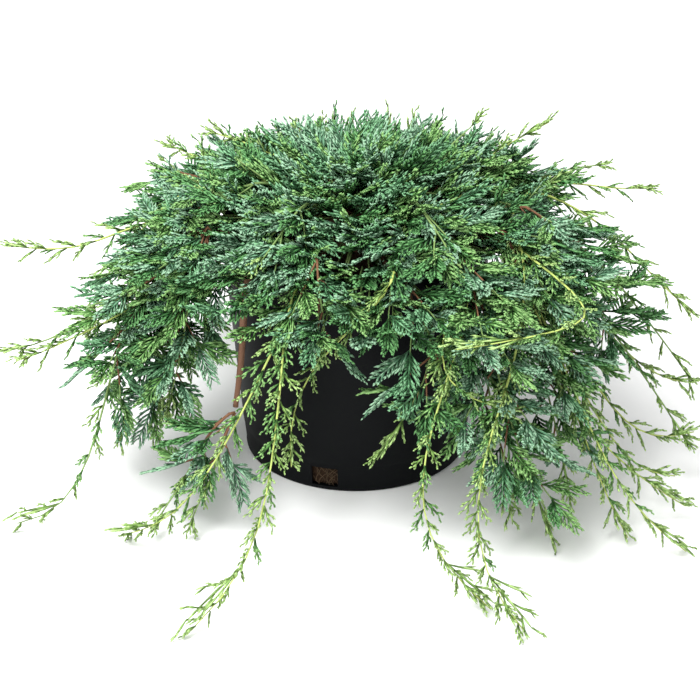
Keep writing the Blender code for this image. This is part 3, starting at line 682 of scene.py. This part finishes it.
def plumeCords(plans, cords, chance):
    # Cords in a flat fan on both sides of each plume's axis, two stubs on each cord, and the axis.
    # Gives root, direction, forward bend, length, kind and colour for every one of them
    base, ahead, face = (np.array([plan[part] for plan in plans]) for part in (0, 1, 2))
    size, tone = (np.array([plan[part] for plan in plans]) for part in (3, 4))
    across = unit(np.cross(ahead, face))
    count = len(plans)
    place = np.linspace(0.06, 0.94, cords) + chance.normal(0, 0.012, (count, cords))
    hand = np.where(np.arange(cords) % 2, 1.0, -1.0)
    angle = growth["cordAngle"] * chance.uniform(0.85, 1.2, (count, cords))
    rise = 0.10 * size[:, None] * place**2
    root = base[:, None] + ahead[:, None] * (size[:, None] * place)[..., None]
    root = root + face[:, None] * rise[..., None]
    way = ahead[:, None] * np.cos(angle)[..., None]
    way = way + across[:, None] * (hand * np.sin(angle))[..., None]
    way = unit(way + face[:, None] * chance.normal(0.08, 0.10, (count, cords))[..., None])
    length = size[:, None] * (0.50 - 0.28 * place) * chance.uniform(0.85, 1.15, (count, cords))
    lift = chance.uniform(0.0, 0.16, (count, cords))[..., None]
    bend = ahead[:, None] * 0.26 + face[:, None] * lift
    part = np.array([0.46, 0.70])
    stubRoot = (root[:, :, None] + way[:, :, None] * (length[:, :, None] * part)[..., None]
                + bend[:, :, None] * (length[:, :, None] * part**2)[..., None])
    stubHand = np.array([1.0, -1.0]) * hand[:, None]
    stubWay = way[:, :, None] * 0.84 + across[:, None, None] * (0.50 * stubHand)[None, ..., None]
    stubWay = unit(stubWay + bend[:, :, None] * 0.4)
    stubLength = length[:, :, None] * np.array([0.40, 0.30])
    stubLength = stubLength * chance.uniform(0.8, 1.2, (count, cords, 2))
    owner = np.arange(count)
    axisBend = np.zeros((count, 3))
    rows = [
        (root.reshape(-1, 3), way.reshape(-1, 3), bend.reshape(-1, 3),
         length.ravel(), np.repeat(owner, cords)),
        (stubRoot.reshape(-1, 3), stubWay.reshape(-1, 3), np.repeat(bend.reshape(-1, 3), 2, 0) * 0.5,
         stubLength.ravel(), np.repeat(owner, cords * 2)),
        (base + ahead * (size * 0.02)[:, None], ahead + face * 0.08, axisBend, size * 0.98, owner),
    ]
    root, way, bend, length, owner = (np.concatenate(column) for column in zip(*rows))
    kind = np.concatenate([np.full(len(row[0]), number) for number, row in enumerate(rows)])
    return root, way, bend, length, kind, tone[owner]


def cordTubes(root, way, bend, length, kind, tone, chance):
    # A cord is a three-sided tube of three rings, each turned 60 degrees from the last, that ends
    # in a point. Its path is root + (way * s + bend * s^2) * length. A stub, kind 1, has two rings.
    # Most outer ends take the lighter colour, new growth with painted light, and the inner ends the
    # darker one, older growth with painted shade
    pieces = []
    offset = 0
    for chosen, profile in ((kind != 1, growth["cordRings"]), (kind == 1, growth["stubRings"])):
        shares, girths = np.array(profile).T
        rings = len(shares)
        count = int(chosen.sum())
        reach = (way[chosen] * length[chosen][:, None])[:, None]
        place = root[chosen][:, None] + reach * shares[:, None]
        place = place + (bend[chosen] * length[chosen][:, None])[:, None] * (shares**2)[:, None]
        thick = growth["cordRadius"] * np.clip(length[chosen] / 0.012, 0.72, 1.1)[:, None] * girths
        points, (quads, low, _) = tubes(place, thick, 3, np.arange(rings) * math.pi / 3)
        tips = root[chosen] + (way[chosen] + bend[chosen]) * length[chosen][:, None]
        last = np.arange(count)[:, None] * rings * 3 + (rings - 1) * 3
        corner = np.arange(3)
        point = np.broadcast_to((len(points) + np.arange(count))[:, None], (count, 3))
        tipFaces = np.stack([last + corner, point, last + (corner + 1) % 3], -1).reshape(-1, 3)
        outer = tone[chosen] + len(greens)
        # the inner half of each cord takes the darker colour, older growth with painted shade, and
        # most outer halves the lighter one, new growth with painted light
        if rings == 3:
            lower = np.repeat(tone[chosen], 3)
            bright = np.repeat(np.where(chance.uniform(0, 1, count) < 0.75, outer, tone[chosen]), 3)
            sides = np.stack([lower.reshape(-1, 3), bright.reshape(-1, 3)], 1).ravel()
        else:
            sides = np.repeat(np.where(chance.uniform(0, 1, count) < 0.5, outer, tone[chosen]), 3)
        everyPoint = np.concatenate([points, tips])
        pieces.append((everyPoint, quads + offset, low + offset, tipFaces + offset,
                       sides, tone[chosen], np.repeat(outer, 3)))
        offset += len(everyPoint)
    return pieces


def plumePiece(name, broad, slim, chance):
    # All the cords of one region's plumes as one mesh, with nothing below the floor
    parts = [plumeCords(plans, cords, chance)
             for plans, cords in ((broad, growth["cords"]), (slim, growth["shootCords"])) if plans]
    joined = [np.concatenate([part[column] for part in parts]) for column in range(6)]
    pieces = cordTubes(*joined, chance)
    points = np.concatenate([piece[0] for piece in pieces])
    points[:, 2] = np.maximum(points[:, 2], growth["floor"])
    faces = [piece[column] for column in (1, 2, 3) for piece in pieces]
    slots = [piece[column] for column in (4, 5, 6) for piece in pieces]
    return addPiece(name, points, faces, foliageMaterials, slots)


def makeTwigs(twigs):
    # Leaders and twigs as tapering four-sided tubes of 16 and 6 rings, coloured by their age
    resampled = []
    for path, thick, thin, kind in twigs:
        share = np.linspace(0, len(path) - 1, 16 if len(path) > 20 else 6)
        axis = np.stack([np.interp(share, np.arange(len(path)), path[:, k]) for k in range(3)], -1)
        resampled.append((axis, np.linspace(thick, thin, len(axis)), kind))
    for length, label in ((16, "leaders"), (6, "twigs")):
        chosen = [item for item in resampled if len(item[0]) == length]
        path = np.stack([item[0] for item in chosen])
        radii = np.stack([item[1] for item in chosen])
        kinds = np.array([item[2] for item in chosen])
        points, faces = tubes(path, radii, 4)
        points[:, 2] = np.maximum(points[:, 2], growth["floor"])
        # the first third of a lower leader is brown and its rest green; shoots are yellow-green
        rows = np.tile(np.repeat(np.arange(length - 1), 4), len(chosen))
        kind = np.repeat(kinds, (length - 1) * 4)
        old = np.where((kind == 0) & (rows < length * 0.35), 0, 1)
        slots = [np.where(kind == 2, 2, old), kinds, np.where(kinds == 2, 2, 1)]
        made = addPiece(label, points, faces, twigMaterials, slots)
        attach(made, "root")


# each green's inner material is darker for older growth and for painted shade, and its outer one is
# lighter for new growth and for painted light
foliageMaterials = [plainMaterial(name + part, colour(*values[number]), 0.62, 0.25)
                    for number, part in enumerate(("InnerAgedAndShaded", "OuterNewAndLit"))
                    for name, values in greens.items()]
twigMaterials = [
    plainMaterial("brownTwig", colour(116, 82, 60), 0.8, 0.2),
    plainMaterial("greenTwig", colour(120, 146, 86), 0.7, 0.25),
    plainMaterial("yellowShoot", colour(176, 192, 104), 0.6, 0.3),
]


def makeFoliage(paths):
    # One piece of plumes for each region, then the leaders and the twigs
    chance = np.random.default_rng(11)
    broad, slim, twigs = growPlumes(paths, chance)
    total = 0
    for region in regions:
        made = plumePiece(region, broad[region], slim[region], chance)
        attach(made, "root")
        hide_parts(*["foliage_" + mass for mass in regions[region]])
        triangles = sum(len(polygon.vertices) - 2 for polygon in made.data.polygons)
        total += triangles
        plumes = len(broad[region]) + len(slim[region])
        print(region, plumes, "plumes", triangles, "triangles")
    makeTwigs(twigs)
    print("foliage", total, "triangles")


# Camera, light and floor
studio = {
    "cameraPlace": (-0.0063, -1.748, 0.973),
    "cameraTilt": 26.5,
    "lens": 97.5,
    "sensor": 36,
    "floorReach": 30,
    "skyStrength": 0.92,
    "keyPlace": (-0.7, -0.9, 2.1),
    "keyPower": 88,
    "keySize": 1.4,
}


def makeStage():
    # A pale floor, an even white sky, one broad lamp and the photo's camera
    floorMesh = bpy.data.meshes.new("floor")
    reach = studio["floorReach"]
    corners = [(-reach, -reach, 0), (reach, -reach, 0), (reach, reach, 0), (-reach, reach, 0)]
    floorMesh.from_pydata(corners, [], [(0, 1, 2, 3)])
    floorMesh.materials.append(plainMaterial("paleFloor", (0.92, 0.92, 0.92, 1), 0.9, 0.1))
    floor = bpy.data.objects.new("floor", floorMesh)
    bpy.context.scene.collection.objects.link(floor)
    world = bpy.data.worlds.new("studio")
    world.use_nodes = True
    world.node_tree.nodes["Background"].inputs["Color"].default_value = (1, 1, 1, 1)
    world.node_tree.nodes["Background"].inputs["Strength"].default_value = studio["skyStrength"]
    bpy.context.scene.world = world
    key = bpy.data.lights.new("key", "AREA")
    key.energy = studio["keyPower"]
    key.size = studio["keySize"]
    lamp = bpy.data.objects.new("key", key)
    lamp.location = studio["keyPlace"]
    aim = mathutils.Vector((0, 0, 0.2)) - lamp.location
    lamp.rotation_euler = aim.to_track_quat("-Z", "Y").to_euler()
    bpy.context.scene.collection.objects.link(lamp)
    camera = bpy.data.cameras.new("camera")
    camera.lens = studio["lens"]
    camera.sensor_width = studio["sensor"]
    eye = bpy.data.objects.new("camera", camera)
    eye.location = studio["cameraPlace"]
    eye.rotation_euler = (math.radians(90 - studio["cameraTilt"]), 0, 0)
    bpy.context.scene.collection.objects.link(eye)
    bpy.context.scene.camera = eye
    bpy.context.scene.view_settings.view_transform = "Standard"


boughs = boughPaths()
makePot()
makeSoil()
makeRoots()
makeLimbs(boughs)
print("pot, soil and limbs made")
makeFoliage(boughs)
makeStage()
print("stage made")
